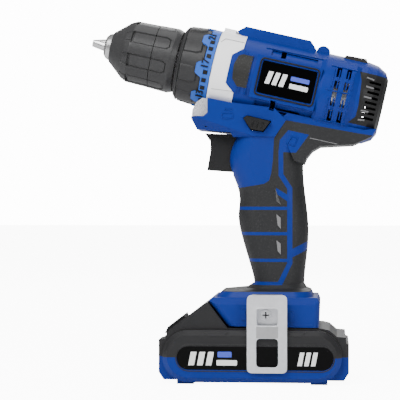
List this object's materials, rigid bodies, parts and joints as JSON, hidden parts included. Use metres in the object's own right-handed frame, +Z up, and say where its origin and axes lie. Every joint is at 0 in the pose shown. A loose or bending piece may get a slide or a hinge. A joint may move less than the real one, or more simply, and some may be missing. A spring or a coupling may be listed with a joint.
{
  "type": "cordless drill",
  "caption": "Pistol-grip drill driver with a keyless chuck, numbered torque ring, slide-on battery pack and belt clip.",
  "frame": {"origin": "centre of the bounding box, at the height of the battery's feet", "axes": "+Z up from the battery towards the barrel, -X towards the chuck, +Y across towards the tool's right-hand side"},
  "size_m": [0.1835, 0.0823, 0.2212],
  "materials": {
    "blue_shell": "satin moulded",
    "grip_rubber": "fine grained",
    "soft_pad": "satin",
    "black_plastic": "satin",
    "pale_case": "satin pearl",
    "gloss_plate": "gloss",
    "clear_lens": "clear",
    "green_board": "lacquered",
    "zinc_steel": "zinc plated",
    "dark_magnet": "matt",
    "bronze": "sintered",
    "machined_steel": "machined",
    "dark_steel": "oiled",
    "copper_wire": "enamelled",
    "ring_plastic": "fine grained",
    "band_blue": "satin",
    "chuck_steel": "ground",
    "sleeve_plastic": "fine grained",
    "clip_steel": "pale coated",
    "screw_steel": "plated",
    "pack_black": "satin",
    "cell_wrap": "shrink film",
    "nickel_strip": "rolled"
  },
  "bodies": {
    "housing": {"belt_clip": "clip_steel", "belt_clip_screw": "screw_steel", "clutch_spring": "machined_steel", "gear_case": "pale_case", "grip_rubber_left": "grip_rubber", "grip_rubber_right": "grip_rubber", "housing_left": "blue_shell", "housing_right": "blue_shell", "housing_screws": "screw_steel", "led_board": "green_board", "led_lens": "clear_lens", "motor_brushes": "dark_magnet", "motor_bushes": "bronze", "motor_can": "zinc_steel", "motor_end_bell": "black_plastic", "motor_magnets": "dark_magnet", "name_plates": "gloss_plate", "rear_cap": "black_plastic", "ring_gears": "dark_steel", "side_bumpers": "soft_pad", "spindle_bearing": "machined_steel", "switch_module": "black_plastic", "terminal_block": "black_plastic", "top_bumper": "soft_pad", "trigger_spring": "machined_steel"},
    "spindle": {"spindle": "machined_steel", "chuck_body": "chuck_steel", "rear_sleeve": "sleeve_plastic", "chuck_screw": "machined_steel"},
    "carrier": {"planet_carrier": "machined_steel"},
    "rotor": {"rotor_shaft": "machined_steel", "rotor_core": "dark_steel", "rotor_windings": "copper_wire", "commutator": "copper_wire", "cooling_fan": "black_plastic", "motor_pinion": "machined_steel"},
    "sleeve": {"front_sleeve": "sleeve_plastic", "chuck_nut": "machined_steel"},
    "torque_collar": {"torque_ring": "ring_plastic", "number_band": "band_blue"},
    "clutch_nut": {"clutch_nut": "bronze"},
    "trigger": {"trigger": "black_plastic"},
    "direction_lever": {"direction_lever": "black_plastic"},
    "battery": {"battery_upper_shell": "pack_black", "battery_lower_shell": "blue_shell", "battery_labels": "gloss_plate", "battery_cells": "cell_wrap", "cell_strips": "nickel_strip", "battery_board": "green_board", "battery_contacts": "bronze"},
    "release_button": {"release_button": "black_plastic"},
    "planet_one_1": {"planet_one_1": "machined_steel"},
    "planet_one_2": {"planet_one_2": "machined_steel"},
    "planet_one_3": {"planet_one_3": "machined_steel"},
    "planet_two_1": {"planet_two_1": "machined_steel"},
    "planet_two_2": {"planet_two_2": "machined_steel"},
    "planet_two_3": {"planet_two_3": "machined_steel"},
    "jaw_1": {"jaw_1": "chuck_steel"},
    "jaw_2": {"jaw_2": "chuck_steel"},
    "jaw_3": {"jaw_3": "chuck_steel"}
  },
  "joints": [
    {"name": "spindle_spin", "type": "hinge", "parent": "housing", "child": "spindle", "pos_m": [-0.03782, 0, 0.19595], "axis": [-0.9744, 0, 0.225], "continuous": true},
    {"name": "carrier_spin", "type": "hinge", "parent": "housing", "child": "carrier", "pos_m": [0.00018, 0, 0.18717], "axis": [-0.9744, 0, 0.225], "continuous": true},
    {"name": "rotor_spin", "type": "hinge", "parent": "housing", "child": "rotor", "pos_m": [0.03039, 0, 0.1802], "axis": [-0.9744, 0, 0.225], "continuous": true},
    {"name": "planet_one_1_spin", "type": "hinge", "parent": "carrier", "child": "planet_one_1", "pos_m": [0.00749, 0, 0.19703], "axis": [-0.9744, 0, 0.225], "continuous": true},
    {"name": "planet_one_2_spin", "type": "hinge", "parent": "carrier", "child": "planet_one_2", "pos_m": [0.00369, 0.00974, 0.18059], "axis": [-0.9744, 0, 0.225], "continuous": true},
    {"name": "planet_one_3_spin", "type": "hinge", "parent": "carrier", "child": "planet_one_3", "pos_m": [0.00369, -0.00974, 0.18059], "axis": [-0.9744, 0, 0.225], "continuous": true},
    {"name": "planet_two_1_spin", "type": "hinge", "parent": "spindle", "child": "planet_two_1", "pos_m": [-0.00265, 0, 0.19937], "axis": [-0.9744, 0, 0.225], "continuous": true},
    {"name": "planet_two_2_spin", "type": "hinge", "parent": "spindle", "child": "planet_two_2", "pos_m": [-0.00644, 0.00974, 0.18293], "axis": [-0.9744, 0, 0.225], "continuous": true},
    {"name": "planet_two_3_spin", "type": "hinge", "parent": "spindle", "child": "planet_two_3", "pos_m": [-0.00644, -0.00974, 0.18293], "axis": [-0.9744, 0, 0.225], "continuous": true},
    {"name": "sleeve_turn", "type": "hinge", "parent": "spindle", "child": "sleeve", "pos_m": [-0.06218, 0, 0.20157], "axis": [-0.9744, 0, 0.225], "range_deg": [0, 1720]},
    {"name": "jaw_1_slide", "type": "slide", "parent": "spindle", "child": "jaw_1", "axis": [0.9994, 0, 0.0349], "range_m": [0, 0.0192]},
    {"name": "jaw_2_slide", "type": "slide", "parent": "spindle", "child": "jaw_2", "axis": [0.9121, 0.2241, -0.3434], "range_m": [0, 0.0192]},
    {"name": "jaw_3_slide", "type": "slide", "parent": "spindle", "child": "jaw_3", "axis": [0.9121, -0.2241, -0.3434], "range_m": [0, 0.0192]},
    {"name": "torque_turn", "type": "hinge", "parent": "housing", "child": "torque_collar", "pos_m": [-0.02418, 0, 0.1928], "axis": [-0.9744, 0, 0.225], "range_deg": [0, 275]},
    {"name": "clutch_nut_slide", "type": "slide", "parent": "housing", "child": "clutch_nut", "axis": [-0.9744, 0, 0.225], "range_m": [0, 0.0041], "deforming": ["clutch_spring"]},
    {"name": "trigger_pull", "type": "slide", "parent": "housing", "child": "trigger", "axis": [1, 0, 0], "range_m": [0, 0.0065], "stiffness_N_per_m": 500, "springref_m": -0.006, "deforming": ["trigger_spring"]},
    {"name": "direction_push", "type": "slide", "parent": "housing", "child": "direction_lever", "axis": [0, 1, 0], "range_m": [-0.0025, 0.0025]},
    {"name": "battery_slide", "type": "slide", "parent": "housing", "child": "battery", "axis": [-1, 0, 0], "range_m": [0, 0.08]},
    {"name": "release_press", "type": "slide", "parent": "battery", "child": "release_button", "axis": [0, 0, -1], "range_m": [0, 0.0026], "stiffness_N_per_m": 600, "springref_m": -0.004}
  ],
  "couplings": [
    {"joint": "carrier_spin", "follows": "spindle_spin", "ratio": 5},
    {"joint": "rotor_spin", "follows": "spindle_spin", "ratio": 25},
    {"joint": "planet_one_1_spin", "follows": "spindle_spin", "ratio": -13.333},
    {"joint": "planet_one_2_spin", "follows": "spindle_spin", "ratio": -13.333},
    {"joint": "planet_one_3_spin", "follows": "spindle_spin", "ratio": -13.333},
    {"joint": "planet_two_1_spin", "follows": "spindle_spin", "ratio": -2.6667},
    {"joint": "planet_two_2_spin", "follows": "spindle_spin", "ratio": -2.6667},
    {"joint": "planet_two_3_spin", "follows": "spindle_spin", "ratio": -2.6667},
    {"joint": "jaw_1_slide", "follows": "sleeve_turn", "m_per_rad": 0.00063662},
    {"joint": "jaw_2_slide", "follows": "sleeve_turn", "m_per_rad": 0.00063662},
    {"joint": "jaw_3_slide", "follows": "sleeve_turn", "m_per_rad": 0.00063662},
    {"joint": "clutch_nut_slide", "follows": "torque_turn", "m_per_rad": 0.00083}
  ]
}
